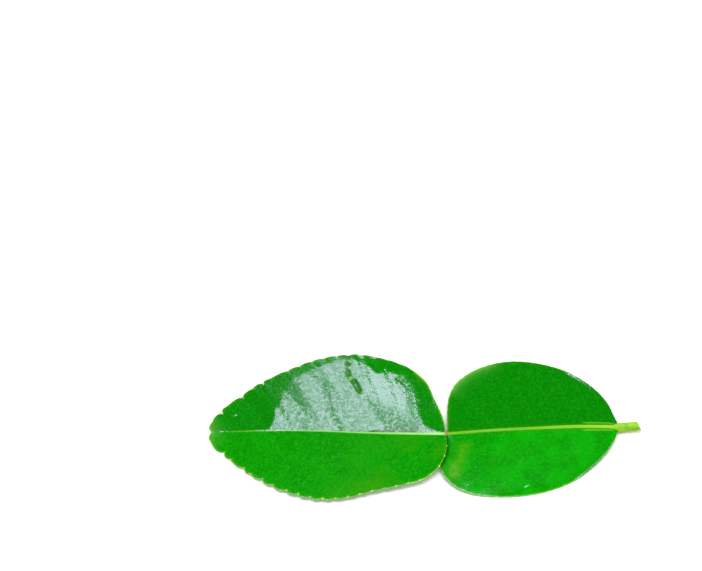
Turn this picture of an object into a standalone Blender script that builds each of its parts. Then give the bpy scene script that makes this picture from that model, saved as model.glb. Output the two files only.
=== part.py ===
"""A cut kaffir lime leaf that lies on its underside: blade, winged petiole, rib and short stalk.

The leaf lies along X, its tip at -X and its cut stalk at +X. The blade and the winged petiole
are each a thin lamina, lofted from the midrib out to two margins. Midribs and margins are smooth
curves through a few points, in millimetres from the narrow joint between the two laminae: along
X, along Y, and the height of the leaf's underside above the surface that it lies on.
"""

import bmesh
import bpy
import numpy as np
from mathutils import Matrix, Vector

MM = 0.001
MERGE = 0.00001

# Place of the joint in the frame whose origin is below the middle of the leaf
JOINT_X = 5.5 * MM
JOINT_Y = -2.416 * MM

# Laminae
LAMINA = 0.62 * MM
COLUMNS = (0.14, 0.32, 0.52, 0.71, 0.87, 1.0)
SCALLOP_ROWS = 4
VEIN_BOW = 0.07
BOW_START = 0.08
BOW_FULL = 0.28
GROOVE_SHARPNESS = 4
NOTCH_FALLOFF = 7
SCALLOP_SHARPNESS = 0.6
SCALLOP_LIMIT = 0.16
SCALLOP_LAST = 0.08
ROLL_SLOPE = 0.25
ROLL_SOFTNESS = 0.8 * MM
CREASE_STEPS = 160
FULL_GROOVE = 8 * MM

# Blade, from the joint to the tip. The notches nearest the tip: distance along the margin, and depth.
# Grooves along the side veins: how deep they are in each half. Roll of the far half: row, and the
# share of its width where it bends down
BLADE = dict(
    midrib=(
        (-0.2, 0, 2.4), (-18, 0, 2.9), (-36, 0.8, 2.5), (-50, 1.6, 0.9), (-58, 1.7, 0.3), (-63.4, 1.8, -0.2),
    ),
    far_margin=(
        (-0.2, 0.6, 2.4), (-0.3, 2.8, 2.6), (-0.9, 5.6, 2.8), (-2.9, 10.4, 3.3), (-5.0, 15.0, 4.3),
        (-9.0, 17.9, 5.8), (-16.5, 20.6, 7.4), (-25.5, 21.5, 8.0), (-34.7, 20.4, 7.3), (-43.1, 17.6, 5.9),
        (-50.1, 15.5, 3.2), (-56.2, 12.2, 1.4), (-61.0, 8.3, 0.4), (-63.5, 4.9, 0), (-64.0, 3.0, -0.2),
        (-63.4, 1.8, -0.2),
    ),
    near_margin=(
        (-0.1, -0.6, 2.4), (0, -2.4, 2.6), (0, -4.4, 2.9), (-0.6, -7.0, 3.1), (-2.3, -10.3, 2.9),
        (-6.0, -13.4, 2.5), (-12.2, -15.3, 2.2), (-20.0, -17.0, 1.9), (-28.0, -18.9, 1.6),
        (-34.6, -19.1, 1.5), (-41.3, -17.4, 1.3), (-47.9, -14.4, 1.0), (-53.9, -10.4, 0.7),
        (-58.8, -6.3, 0.3), (-62.5, -2.9, -0.1), (-64.0, 0.4, -0.2), (-63.4, 1.8, -0.2),
    ),
    far_notches=(
        (0, 0), (3.4, 0.2), (7.2, 1.0), (9.9, 0.2), (14.5, 0.8), (17.9, 0.4), (21.1, 0.9), (23.7, 0.2),
        (28.9, 0.5),
    ),
    near_notches=(
        (0, 0), (3.0, 0.2), (8.5, 1.2), (11.2, 0.4), (15.9, 0.9), (18.4, 0.4), (21.8, 1.0), (25.3, 0.7),
        (29.3, 0.8),
    ),
    scallops=24,
    first_rows=0.25, row_power=2, veins=14, level=1, far_groove=0.09, near_groove=0.05,
    roll=(
        (0, 0), (0.138, 0.08), (0.253, 0.2), (0.281, 0.39), (0.291, 0.84), (0.367, 0.76), (0.403, 0.75),
        (0.423, 0.83), (0.45, 0.94), (0.52, 0.93), (0.605, 0.9), (0.672, 0.85), (0.73, 0.68),
        (0.79, 0.46), (0.83, 0.17), (0.855, 0), (1, 0),
    ),
)

# Winged petiole, from the stalk back to the joint
WING = dict(
    midrib=((46.8, 2.6, 1.5), (36, 2.85, 1.3), (24, 2.35, 1.2), (12, 1.45, 1.6), (0.2, 0, 2.4)),
    far_margin=(
        (46.6, 3.5, 1.6), (46.2, 4.8, 1.5), (45.65, 6.4, 1.4), (44.6, 9.6, 1.2), (41.7, 14.2, 0.8),
        (37.0, 18.5, 0.4), (31.5, 21.8, 0.1), (25.0, 23.6, -0.2), (18.5, 24.0, -0.2), (12.0, 22.6, 0.1),
        (6.3, 19.4, 0.6), (3.0, 16.1, 1.0), (1.2, 12.0, 1.4), (0.5, 6.8, 1.9), (0.3, 0.6, 2.4),
    ),
    near_margin=(
        (46.6, 1.7, 1.6), (46, 0.2, 1.5), (45.2, -1.6, 1.4), (42.8, -5.2, 1.2), (39.2, -8.9, 0.8),
        (34.0, -12.8, 0.3), (27.0, -15.8, -0.15), (20.0, -17.3, -0.2), (13.0, -17.6, 0), (6.4, -16.9, 0.5),
        (2.0, -15.1, 0.9), (-0.5, -12.8, 1.2), (-1.7, -10.4, 1.4), (-2.1, -8.0, 1.5), (-2.0, -5.4, 1.7),
        (-1.3, -3.0, 2.0), (-0.5, -1.3, 2.3), (0.0, -0.6, 2.4),
    ),
    far_notches=((0, 0.15),), near_notches=((0, 0.15),), scallops=15,
    first_rows=0, row_power=1.5, veins=10, level=1, roll=(), far_groove=0.05, near_groove=0.05,
)

# Rib: X, radius, and how far its top stands above the upper face
RIB = (
    (-58, 0.18, -0.14), (-50, 0.30, 0.02), (-36, 0.44, 0.08), (-18, 0.58, 0.11), (-3, 0.72, 0.14),
    (0, 0.82, 0.18), (3, 0.74, 0.16), (20, 0.80, 0.16), (38, 0.92, 0.22), (47, 1.18, 0.50),
    (52.25, 1.22, 0.66),
)
RIB_STEP = 2.4 * MM
RIB_PATH_STEPS = 60
STALK_END = (54, 3.0, 1.8)
STALK_CUT = (1, 0.35, 0.5)


def smooth_curve(points):
    """A smooth curve through points, as a function of the fraction of its length."""
    points = np.array(points, float) * MM
    steps = np.linalg.norm(np.diff(points, axis=0), axis=1)
    reach = np.concatenate(([0], np.cumsum(steps)))
    slopes = np.gradient(points, reach, axis=0)

    def at(fraction):
        place = np.asarray(fraction) * reach[-1]
        span = np.clip(np.searchsorted(reach, place, side="right") - 1, 0, len(steps) - 1)
        length = steps[span][..., None]
        u = (place[..., None] - reach[span][..., None]) / length
        start, end = points[span], points[span + 1]
        leave, arrive = slopes[span] * length, slopes[span + 1] * length
        ease = u * u * (3 - 2 * u)
        return start + (end - start) * ease + leave * u * (1 - u) ** 2 - arrive * u * u * (1 - u)

    return at, reach[-1]


def margin_points(outline, notches, scallops, row):
    """Points of one margin and how far each lies inside it, with the same share of rows in each scallop."""
    curve, length = smooth_curve(outline)
    place, depth = np.array(notches).T * MM
    even = scallops + 2 - len(notches)
    place = np.append(place[:-1], np.linspace(place[-1], length, even))
    depth = np.append(depth[:-1], np.linspace(depth[-1], SCALLOP_LAST * MM, even))
    scallop = scallops * (1 - row)
    bump = np.abs(np.sin(np.pi * scallop)) ** SCALLOP_SHARPNESS
    inside = np.interp(scallop, range(scallops + 1), depth) * (1 - bump)
    return curve(1 - np.interp(scallop, range(scallops + 1), place) / length), inside


def flat_lamina(lamina, row, out):
    """Points of a lamina before it rolls, how wide the half is there, and the arch of its veins.

    row runs along the lamina, out from -1 (near margin) over 0 (midrib) to 1 (far margin).
    """
    station = lamina["first_rows"] * row + (1 - lamina["first_rows"]) * row ** lamina["row_power"]
    root = smooth_curve(lamina["midrib"])[0](station)
    far, far_inside = margin_points(
        lamina["far_margin"], lamina["far_notches"], lamina["scallops"], row)
    near, near_inside = margin_points(
        lamina["near_margin"], lamina["near_notches"], lamina["scallops"], row)
    margin = np.where(out[:, None] > 0, far, near)
    inside = np.where(out > 0, far_inside, near_inside)
    share = np.abs(out)
    width = np.linalg.norm(margin - root, axis=1)
    inward = np.minimum(inside / np.maximum(width, MERGE), SCALLOP_LIMIT) * share ** NOTCH_FALLOFF
    points = root + (margin - root) * (share * (1 - inward))[:, None]

    # The lamina leaves the midrib straight and levels out towards the margin
    rise = (margin - root)[:, 2]
    points[:, 2] = root[:, 2] + rise * (1 - (1 - share) ** lamina["level"])
    arch = 4 * share * (1 - share) * np.clip((row - BOW_START) / (BOW_FULL - BOW_START), 0, 1)
    points[:, 0] += VEIN_BOW * width * arch
    return points, width, arch


def roll_depth(lamina, row, out):
    """How far a point of the far half has dropped past the crease where that half rolls over."""
    turns, shares = np.array(lamina["roll"]).T
    fine = np.linspace(0, 1, CREASE_STEPS)
    line = flat_lamina(lamina, fine, np.interp(fine, turns, shares))[0][:, :2]
    start, leg = line[:-1], np.diff(line, axis=0)
    offset = flat_lamina(lamina, row, out)[0][:, None, :2] - start
    along = np.clip((offset * leg).sum(axis=2) / (leg ** 2).sum(axis=1), 0, 1)
    away = np.linalg.norm(offset - along[..., None] * leg, axis=2).min(axis=1)
    past = np.where(out > np.interp(row, turns, shares), away, -away)
    return ROLL_SLOPE * (past + np.hypot(past, ROLL_SOFTNESS) - ROLL_SOFTNESS) / 2


def lamina_surface(lamina, row, out):
    """Points of a lamina's underside, with the roll of its far half and its grooves."""
    points, width, arch = flat_lamina(lamina, row, out)
    if lamina["roll"]:
        share = np.clip(out, 0, 1)
        root, margin = roll_depth(lamina, row, 0 * row), roll_depth(lamina, row, 1 + 0 * row)
        level = (1 - share) * root + share * margin
        points[:, 2] -= np.where(out > 0, roll_depth(lamina, row, share) - level, 0)
    groove = np.cos(np.pi * lamina["veins"] * row) ** GROOVE_SHARPNESS
    groove *= arch * np.minimum(1, width / FULL_GROOVE)
    points[:, 2] -= groove * np.where(out > 0, lamina["far_groove"], lamina["near_groove"]) * MM
    points[:, 2] = np.maximum(points[:, 2], 0)
    return points


def make_lamina(name, lamina, collection):
    """A grid laid along the lamina, bent to its surface and thickened upwards."""
    rows = lamina["scallops"] * SCALLOP_ROWS
    bpy.ops.mesh.primitive_grid_add(x_subdivisions=rows, y_subdivisions=2 * len(COLUMNS), size=2)
    sheet = bpy.context.object
    sheet.name = name
    mesh = sheet.data
    places = np.empty(3 * len(mesh.vertices))
    mesh.vertices.foreach_get("co", places)
    places = places.reshape(-1, 3)
    row = (places[:, 0] + 1) / 2
    steps = (0,) + COLUMNS
    column = np.abs(places[:, 1]) * len(COLUMNS)
    out = np.sign(places[:, 1]) * np.interp(column, range(len(steps)), steps)
    mesh.vertices.foreach_set("co", lamina_surface(lamina, row, out).ravel())
    shape = bmesh.new()
    shape.from_mesh(mesh)
    bmesh.ops.remove_doubles(shape, verts=shape.verts, dist=MERGE)
    bmesh.ops.triangulate(shape, faces=shape.faces, quad_method="SHORT_EDGE")
    raised = bmesh.ops.extrude_face_region(shape, geom=shape.faces[:], use_keep_orig=True)["geom"]
    upper = [item for item in raised if isinstance(item, bmesh.types.BMVert)]
    bmesh.ops.translate(shape, verts=upper, vec=(0, 0, LAMINA))
    bmesh.ops.recalc_face_normals(shape, faces=shape.faces)
    shape.to_mesh(mesh)
    shape.free()
    move_to(sheet, collection)
    return sheet


def make_rib(name, collection):
    """The rib under both laminae and the stalk, one tapered tube with a slanting cut at its end."""
    x, radius, rise = np.array(RIB).T * MM
    blade = smooth_curve(BLADE["midrib"])[0](np.linspace(1, 0, RIB_PATH_STEPS))
    wing = smooth_curve(WING["midrib"])[0](np.linspace(1, 0, RIB_PATH_STEPS))
    midrib = np.concatenate((blade, wing[1:], np.array([STALK_END]) * MM))
    count = int((x[-1] - x[0]) / RIB_STEP) + 1
    place = np.linspace(x[0], x[-1] + 2 * MM, count)
    path = bpy.data.curves.new(name, "CURVE")
    path.dimensions = "3D"
    path.bevel_depth = MM
    path.bevel_resolution = 2
    path.use_fill_caps = True
    spline = path.splines.new("POLY")
    spline.points.add(count - 1)
    thick = np.interp(place, x, radius)
    side = np.interp(place, midrib[:, 0], midrib[:, 1])
    under = np.interp(place, midrib[:, 0], midrib[:, 2])
    height = under + LAMINA + np.interp(place, x, rise) - thick
    ones = np.ones(count)
    spline.points.foreach_set("co", np.column_stack((place, side, height, ones)).ravel())
    spline.points.foreach_set("radius", thick / MM)
    curve = bpy.data.objects.new(name, path)
    collection.objects.link(curve)
    rib = as_mesh(curve, collection)
    shape = bmesh.new()
    shape.from_mesh(rib.data)
    bmesh.ops.remove_doubles(shape, verts=shape.verts, dist=MERGE)
    end = Vector((x[-1], side[-1], height[-1]))
    cut = bmesh.ops.bisect_plane(
        shape, geom=shape.verts[:] + shape.edges[:] + shape.faces[:], plane_co=end,
        plane_no=Vector(STALK_CUT), clear_outer=True,
    )
    rim = [edge for edge in cut["geom_cut"] if isinstance(edge, bmesh.types.BMEdge)]
    bmesh.ops.contextual_create(shape, geom=rim)
    bmesh.ops.recalc_face_normals(shape, faces=shape.faces)
    shape.to_mesh(rib.data)
    shape.free()
    return rib


def move_to(item, collection):
    for holder in item.users_collection:
        holder.objects.unlink(item)
    collection.objects.link(item)


def as_mesh(item, collection):
    """Replaces an object by a plain mesh of what its curve or modifiers make."""
    bpy.context.view_layer.update()
    made = item.evaluated_get(bpy.context.evaluated_depsgraph_get())
    name = item.name
    plain = bpy.data.objects.new(name + "_mesh", bpy.data.meshes.new_from_object(made))
    plain.matrix_world = item.matrix_world
    collection.objects.link(plain)
    bpy.data.objects.remove(item)
    plain.name = name
    return plain


def leaf_green():
    material = bpy.data.materials.new("leaf_green")
    material.use_nodes = True
    shader = material.node_tree.nodes["Principled BSDF"]
    shader.inputs["Base Color"].default_value = (0.012, 0.27, 0.01, 1)
    shader.inputs["Roughness"].default_value = 0.35
    shader.inputs["Metallic"].default_value = 0
    return material


for old in list(bpy.data.objects):
    bpy.data.objects.remove(old)

parts = bpy.data.collections.new("kaffir_lime_leaf")
pieces = bpy.data.collections.new("leaf_pieces")
bpy.context.scene.collection.children.link(parts)
bpy.context.scene.collection.children.link(pieces)

blade = make_lamina("blade", BLADE, parts)
make_lamina("wing", WING, pieces)
make_rib("rib", pieces)

union = blade.modifiers.new("Grown together", "BOOLEAN")
union.operation = "UNION"
union.operand_type = "COLLECTION"
union.collection = pieces
union.solver = "EXACT"
leaf = as_mesh(blade, parts)
for piece in list(pieces.objects):
    bpy.data.objects.remove(piece)
bpy.data.collections.remove(pieces)

leaf.name = "leaf"
leaf.data.name = "leaf"
leaf.data.transform(Matrix.Translation((JOINT_X, JOINT_Y, 0)))
leaf.data.materials.clear()
leaf.data.materials.append(leaf_green())
leaf.data.shade_smooth()
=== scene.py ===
"""A cut kaffir lime leaf, lying on its underside on a white surface in soft overhead light."""

import math

import bmesh
import bpy
import numpy as np
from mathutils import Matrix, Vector


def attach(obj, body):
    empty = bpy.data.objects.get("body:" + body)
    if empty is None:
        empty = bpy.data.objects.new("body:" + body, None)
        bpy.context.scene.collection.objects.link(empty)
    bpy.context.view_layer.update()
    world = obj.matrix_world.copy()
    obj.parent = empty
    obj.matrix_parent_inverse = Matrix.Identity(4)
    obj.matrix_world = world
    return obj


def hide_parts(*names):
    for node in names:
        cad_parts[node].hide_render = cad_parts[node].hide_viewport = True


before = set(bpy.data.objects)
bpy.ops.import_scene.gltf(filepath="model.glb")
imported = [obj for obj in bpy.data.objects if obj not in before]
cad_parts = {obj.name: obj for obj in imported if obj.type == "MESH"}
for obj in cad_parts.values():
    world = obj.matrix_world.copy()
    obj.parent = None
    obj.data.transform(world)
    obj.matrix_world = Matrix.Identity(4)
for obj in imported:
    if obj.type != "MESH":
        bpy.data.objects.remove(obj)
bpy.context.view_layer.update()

# Blade
# The true leaf blade: a thin waxy lamina, folded a little along its midrib, with a scalloped
# margin. Side veins run out from the midrib and sink shallow furrows in the glossy upper skin.
# The far half stands up and rolls down again towards its margin.

MM = 0.001
JOINT = np.array((5.5, -2.416, 0)) * MM
LAMINA = 0.36 * MM
VEIN_BOW = 0.07
SCALLOP_SHARPNESS = 0.6
SCALLOP_LIMIT = 0.16
SCALLOP_LAST = 0.08
ROLL_SLOPE = 0.25
ROLL_SOFTNESS = 0.45 * MM
CREASE_STEPS = 160
# The roll is levelled by the mean depth of the margin at these steps along the rows
LEVEL_STEPS = (-0.06, -0.03, 0, 0.03, 0.06)
BOW_START = 0.08
BOW_FULL = 0.28
GROOVE_SHARPNESS = 4
FULL_GROOVE = 8 * MM
NOTCH_FALLOFF = 7
WELD = 0.002 * MM
INNER_COLUMNS = (0, 0.22, 0.45, 0.75, 1.15)
OUTER_COLUMNS = (0.95, 0.65, 0.42, 0.26, 0.14, 0.06, 0.016, 0)
MIDDLE_COLUMNS = 44
RIM_ROUND = 0.17 * MM

# Curves: along X, along Y and height in millimetres from the joint. Notches: distance along the
# margin from the tip, and depth. Roll of the far half: row, and the share of the width where it bends
BLADE = dict(
    midrib=(
        (-0.2, 0, 2.4), (-18, 0, 2.9), (-36, 0.8, 2.5), (-50, 1.6, 0.9), (-58, 1.7, 0.3), (-63.4, 1.8, -0.2),
    ),
    far_margin=(
        (-0.2, 0.6, 2.4), (-0.3, 2.8, 2.6), (-0.9, 5.6, 2.8), (-2.9, 10.4, 3.3), (-5.0, 15.0, 4.3),
        (-9.0, 17.9, 5.8), (-16.5, 20.6, 7.4), (-25.5, 21.5, 8.0), (-34.7, 20.4, 7.3), (-43.1, 17.6, 5.9),
        (-50.1, 15.5, 3.2), (-56.2, 12.2, 1.4), (-61.0, 8.3, 0.4), (-63.5, 4.9, 0), (-64.0, 3.0, -0.2),
        (-63.4, 1.8, -0.2),
    ),
    near_margin=(
        (-0.1, -0.6, 2.4), (0, -2.4, 2.6), (0, -4.4, 2.9), (-0.6, -7.0, 3.1), (-2.3, -10.3, 2.9),
        (-6.0, -13.4, 2.5), (-12.2, -15.3, 2.2), (-20.0, -17.0, 1.9), (-28.0, -18.9, 1.6),
        (-34.6, -19.1, 1.5), (-41.3, -17.4, 1.3), (-47.9, -14.4, 1.0), (-53.9, -10.4, 0.7),
        (-58.8, -6.3, 0.3), (-62.5, -2.9, -0.1), (-64.0, 0.4, -0.2), (-63.4, 1.8, -0.2),
    ),
    far_notches=(
        (0, 0), (3.4, 0.2), (7.2, 1.0), (9.9, 0.2), (14.5, 0.8), (17.9, 0.4), (21.1, 0.9), (23.7, 0.2),
        (28.9, 0.5),
    ),
    near_notches=(
        (0, 0), (3.0, 0.2), (8.5, 1.2), (11.2, 0.4), (15.9, 0.9), (18.4, 0.4), (21.8, 1.0), (25.3, 0.7),
        (29.3, 0.8),
    ),
    scallops=24, scallop_rows=16, length=64 * MM, fan=18 * MM,
    first_rows=0.25, row_power=2, veins=14, level=1, far_groove=0.09, near_groove=0.03,
    roll=(
        (0, 0), (0.132, 0.08), (0.238, 0.2), (0.27, 0.39), (0.278, 0.86), (0.306, 0.82), (0.403, 0.76),
        (0.423, 0.83), (0.45, 0.94), (0.52, 0.93), (0.605, 0.9), (0.672, 0.85), (0.73, 0.68),
        (0.79, 0.46), (0.83, 0.17), (0.855, 0), (1, 0),
    ),
)


def smooth_curve(points):
    """A smooth curve through points, as a function of the fraction of its length."""
    points = np.array(points, float) * MM
    steps = np.linalg.norm(np.diff(points, axis=0), axis=1)
    reach = np.concatenate(([0], np.cumsum(steps)))
    slopes = np.gradient(points, reach, axis=0)

    def at(fraction):
        place = np.asarray(fraction) * reach[-1]
        span = np.clip(np.searchsorted(reach, place, side="right") - 1, 0, len(steps) - 1)
        length = steps[span][..., None]
        u = (place[..., None] - reach[span][..., None]) / length
        start, end = points[span], points[span + 1]
        leave, arrive = slopes[span] * length, slopes[span + 1] * length
        ease = u * u * (3 - 2 * u)
        return start + (end - start) * ease + leave * u * (1 - u) ** 2 - arrive * u * u * (1 - u)

    return at, reach[-1]


def margin_points(outline, notches, scallops, row):
    """Points of one margin, and how far its notches draw each one in."""
    curve, length = smooth_curve(outline)
    place, depth = np.array(notches).T * MM
    even = scallops + 2 - len(notches)
    place = np.append(place[:-1], np.linspace(place[-1], length, even))
    depth = np.append(depth[:-1], np.linspace(depth[-1], SCALLOP_LAST * MM, even))
    scallop = scallops * (1 - row)
    bump = np.abs(np.sin(np.pi * scallop)) ** SCALLOP_SHARPNESS
    inside = np.interp(scallop, range(scallops + 1), depth) * (1 - bump)
    return curve(1 - np.interp(scallop, range(scallops + 1), place) / length), inside


def half_widths(plan, row):
    """Midrib, far and near margin at each row, with what the notches draw in."""
    station = plan["first_rows"] * row + (1 - plan["first_rows"]) * row ** plan["row_power"]
    root = smooth_curve(plan["midrib"])[0](station)
    far, far_inside = margin_points(plan["far_margin"], plan["far_notches"], plan["scallops"], row)
    near, near_inside = margin_points(plan["near_margin"], plan["near_notches"], plan["scallops"], row)
    return root, far, far_inside, near, near_inside


def flat_lamina(plan, row, out):
    """Points of a lamina before it rolls and wrinkles, and how wide the half is there."""
    root, far, far_inside, near, near_inside = half_widths(plan, row)
    margin = np.where(out[:, None] > 0, far, near)
    inside = np.where(out > 0, far_inside, near_inside)
    share = np.abs(out)
    width = np.linalg.norm(margin - root, axis=1)
    inward = np.minimum(inside / np.maximum(width, 0.01 * MM), SCALLOP_LIMIT) * share ** NOTCH_FALLOFF
    points = root + (margin - root) * (share * (1 - inward))[:, None]
    rise = (margin - root)[:, 2]
    points[:, 2] = root[:, 2] + rise * (1 - (1 - share) ** plan["level"])
    arch = 4 * share * (1 - share) * np.clip((row - BOW_START) / (BOW_FULL - BOW_START), 0, 1)
    points[:, 0] += VEIN_BOW * width * arch
    return points, width, arch


def roll_depth(plan, row, out):
    """How far a point of the far half has dropped past the crease where that half rolls over."""
    turns, shares = np.array(plan["roll"]).T
    fine = np.linspace(0, 1, CREASE_STEPS)
    line = flat_lamina(plan, fine, np.interp(fine, turns, shares))[0][:, :2]
    start, leg = line[:-1], np.diff(line, axis=0)
    offset = flat_lamina(plan, row, out)[0][:, None, :2] - start
    along = np.clip((offset * leg).sum(axis=2) / (leg ** 2).sum(axis=1), 0, 1)
    away = np.linalg.norm(offset - along[..., None] * leg, axis=2).min(axis=1)
    past = np.where(out > np.interp(row, turns, shares), away, -away)
    return ROLL_SLOPE * (past + np.hypot(past, ROLL_SOFTNESS) - ROLL_SOFTNESS) / 2


def furrow_shape(plan, row, width):
    """Between 0 and 1: how far a point lies in the furrow along one of the side veins."""
    return np.cos(np.pi * plan["veins"] * row) ** GROOVE_SHARPNESS * np.minimum(1, width / FULL_GROOVE)


def lamina_surface(plan, row, out):
    """Points of a lamina's underside, and how wide the half is there."""
    points, width, arch = flat_lamina(plan, row, out)
    if plan["roll"]:
        share = np.clip(out, 0, 1)
        root = roll_depth(plan, row, 0 * row)
        nearby = [np.clip(row + step, 0, 1) for step in LEVEL_STEPS]
        margin = sum(roll_depth(plan, place, 1 + 0 * row) for place in nearby) / len(nearby)
        level = (1 - share) * root + share * margin
        points[:, 2] -= np.where(out > 0, roll_depth(plan, row, share) - level, 0)
    deep = np.where(out > 0, plan["far_groove"], plan["near_groove"]) * MM
    points[:, 2] -= deep * furrow_shape(plan, row, width) * arch
    points[:, 2] = np.maximum(points[:, 2], 0)
    return points, width


def soft_noise(seed, along, across):
    """Smooth swells between -1 and 1, one for each whole number along and across."""
    heights = np.random.default_rng(seed).uniform(-1, 1, (128, 128))
    a, b = np.floor(along).astype(int), np.floor(across).astype(int)
    u, v = along - a, across - b
    u, v = u * u * (3 - 2 * u), v * v * (3 - 2 * v)
    a, b = a % 127, b % 127
    low = heights[a, b] * (1 - u) + heights[a + 1, b] * u
    high = heights[a, b + 1] * (1 - u) + heights[a + 1, b + 1] * u
    return low * (1 - v) + high * v


def row_length(plan, share):
    """How long the rows of a lamina run from end to end, which is more towards its margin."""
    return plan["length"] + plan["fan"] * share


def vein_tint(plan, row, share):
    """Strongest above the side veins, fading out at the midrib and at the margin."""
    veins = plan["veins"]
    away = np.abs(row * veins - np.round(row * veins)) / veins * row_length(plan, share)
    return np.exp(-(away / (0.3 * MM)) ** 2) * np.clip(share * 6, 0, 1) * np.clip((1 - share) * 6, 0, 1)


def lamina_piece(name, plan, relief, tints):
    """A closed lamina with a round rim. relief lifts both skins, tints are kept for the colours."""
    rows = np.linspace(0, 1, plan["scallops"] * plan["scallop_rows"] + 1)
    root, far, _, near, _ = half_widths(plan, rows)
    halves = []
    for margin in (far, near):
        width = np.linalg.norm(margin - root, axis=1)[:, None]
        scale = np.minimum(1, width / (4 * MM)) * MM
        inner = np.array(INNER_COLUMNS) * scale
        outer = width - np.array(OUTER_COLUMNS) * scale
        middle = np.linspace(0, 1, MIDDLE_COLUMNS + 2)[1:-1]
        middle = inner[:, -1:] + (outer[:, :1] - inner[:, -1:]) * middle
        halves.append(np.concatenate((inner, middle, outer), axis=1) / np.maximum(width, 0.001 * MM))
    out = np.concatenate((-halves[1][:, :0:-1], halves[0]), axis=1)
    out = np.clip(out, -1, 1)
    count = out.shape[1]
    row = np.repeat(rows, count)
    out = out.ravel()
    points, width = lamina_surface(plan, row, out)
    points[:, 2] += relief(row, out, width)
    points[:, 2] = np.maximum(points[:, 2], 0)
    from_rim = (1 - np.abs(out)) * width
    full = np.sqrt(1 - (1 - np.minimum(from_rim / RIM_ROUND, 1)) ** 2)
    upper, lower = points + JOINT, points + JOINT
    upper[:, 2] += LAMINA * (1 + full) / 2
    lower[:, 2] += LAMINA * (1 - full) / 2
    corner = (np.arange(len(rows) - 1)[:, None] * count + np.arange(count - 1)).ravel()
    top = np.stack((corner, corner + count, corner + count + 1, corner + 1), axis=1)
    base = len(points)
    bottom = top[:, ::-1] + base
    ends = []
    for first in (0, (len(rows) - 1) * count):
        edge = np.arange(first, first + count - 1)
        wall = np.stack((edge, edge + 1, edge + 1 + base, edge + base), axis=1)
        ends.append(wall if first == 0 else wall[:, ::-1])
    faces = np.concatenate((top, bottom, *ends))
    mesh = bpy.data.meshes.new(name)
    mesh.from_pydata(np.concatenate((upper, lower)).tolist(), [], faces.tolist())
    for label, value in tints(row, out, width).items():
        layer = mesh.attributes.new(label, "FLOAT", "POINT")
        layer.data.foreach_set("value", np.tile(value, 2).astype(np.float32))
    under = mesh.attributes.new("under", "FLOAT", "POINT")
    under.data.foreach_set("value", np.repeat((0, 1), base).astype(np.float32))
    shape = bmesh.new()
    shape.from_mesh(mesh)
    bmesh.ops.remove_doubles(shape, verts=shape.verts, dist=WELD)
    bmesh.ops.dissolve_degenerate(shape, edges=shape.edges, dist=0.001 * MM)
    bmesh.ops.triangulate(shape, faces=shape.faces, quad_method="SHORT_EDGE")
    bmesh.ops.recalc_face_normals(shape, faces=shape.faces)
    for face in shape.faces:
        face.smooth = True
    shape.to_mesh(mesh)
    shape.free()
    piece = bpy.data.objects.new(name, mesh)
    bpy.context.scene.collection.objects.link(piece)
    return piece


# Row and share of the blisters: two in the sheen, a fleck on each side of it, three in the crease
BLISTERS = (
    (0.338, 0.67), (0.322, 0.64), (0.363, 0.83), (0.892, 0.69),
    (0.4975, 0.56), (0.499, 0.62), (0.502, 0.7),
)
FIRST_IN_CREASE = 4

# Length of the rows and width of the far half at its broadest
MIDDLE_LENGTH = 78 * MM
MIDDLE_WIDTH = 20 * MM

# Wrinkles in millimetres, then the crease, the blisters and the dip before the tip
BLADE_STREAKS = 0.045
BLADE_QUILT = 0.022
BLADE_SWELL = 0.10
CREASE_DEPTH = 0.26 * MM
CREASE_REACH = 0.6 * MM
BLISTER_RISE = 0.22 * MM
BLISTER_RADIUS = 0.42 * MM
TIP_DIP = 0.28 * MM


def blister_shape(row, out, spot, radius):
    """A round swell of the far half at a row and share."""
    apart = np.hypot((row - spot[0]) * MIDDLE_LENGTH, (out - spot[1]) * MIDDLE_WIDTH)
    return np.exp(-(apart / radius) ** 2)


def crease_parts(row, share):
    """How far a point lies from the crease along the rows, where the crease runs, and its beads."""
    line = np.interp(share, (0.52, 0.64, 0.73, 0.82, 0.92, 1), (0.497, 0.498, 0.503, 0.497, 0.475, 0.462))
    beads = soft_noise(9, row * 0, share * 42)
    return (row - line) * MIDDLE_LENGTH, np.clip((share - 0.5) / 0.04, 0, 1), beads


def blade_relief(row, out, width):
    """Fine wrinkles, a crease with beads, blisters, a smooth tip and the hollow beside the midrib."""
    share = np.abs(out)
    across = share * width
    along = row * row_length(BLADE, share)
    inward = np.clip((1 - share) * width / (1.2 * MM), 0, 1) * np.clip(across / (1 * MM), 0, 1)
    streaks = BLADE_STREAKS * soft_noise(3, along / (1.1 * MM), across / (5 * MM) + 20 * (out > 0))
    quilt = BLADE_QUILT * soft_noise(5, along / (0.7 * MM), across / (0.9 * MM) + 40 * (out > 0))
    swell = BLADE_SWELL * soft_noise(8, along / (6 * MM), across / (7 * MM) + 9 * (out > 0))
    quiet = np.where(out > 0, 1, 0.2) * np.clip((0.84 - row) / 0.06, 0, 1)
    quiet *= np.clip((row - 0.2) / 0.06, 0.2, 1)
    lift = (streaks + quilt + swell) * quiet * inward * MM
    from_line, length, beads = crease_parts(row, share)
    lift -= CREASE_DEPTH * np.exp(-(from_line / CREASE_REACH) ** 2) * length * (1 + beads) * (out > 0)
    for spot in BLISTERS:
        lift += BLISTER_RISE * blister_shape(row, out, spot, BLISTER_RADIUS)
    lift -= TIP_DIP * share ** 2 * np.exp(-((row - 0.86) / 0.05) ** 2) * (out > 0)
    flat_tip = 4 * share * (1 - share) * np.clip((row - 0.82) / 0.03, 0, 1) * (out > 0)
    lift += BLADE["far_groove"] * MM * furrow_shape(BLADE, row, width) * flat_tip
    hollow = np.interp(row, (0, 0.5, 0.8), (0.10, 0.07, 0.01))
    lift -= hollow * MM * np.exp(-(across / (0.7 * MM)) ** 2) * np.clip(width / (6 * MM), 0, 1)
    return lift


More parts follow.
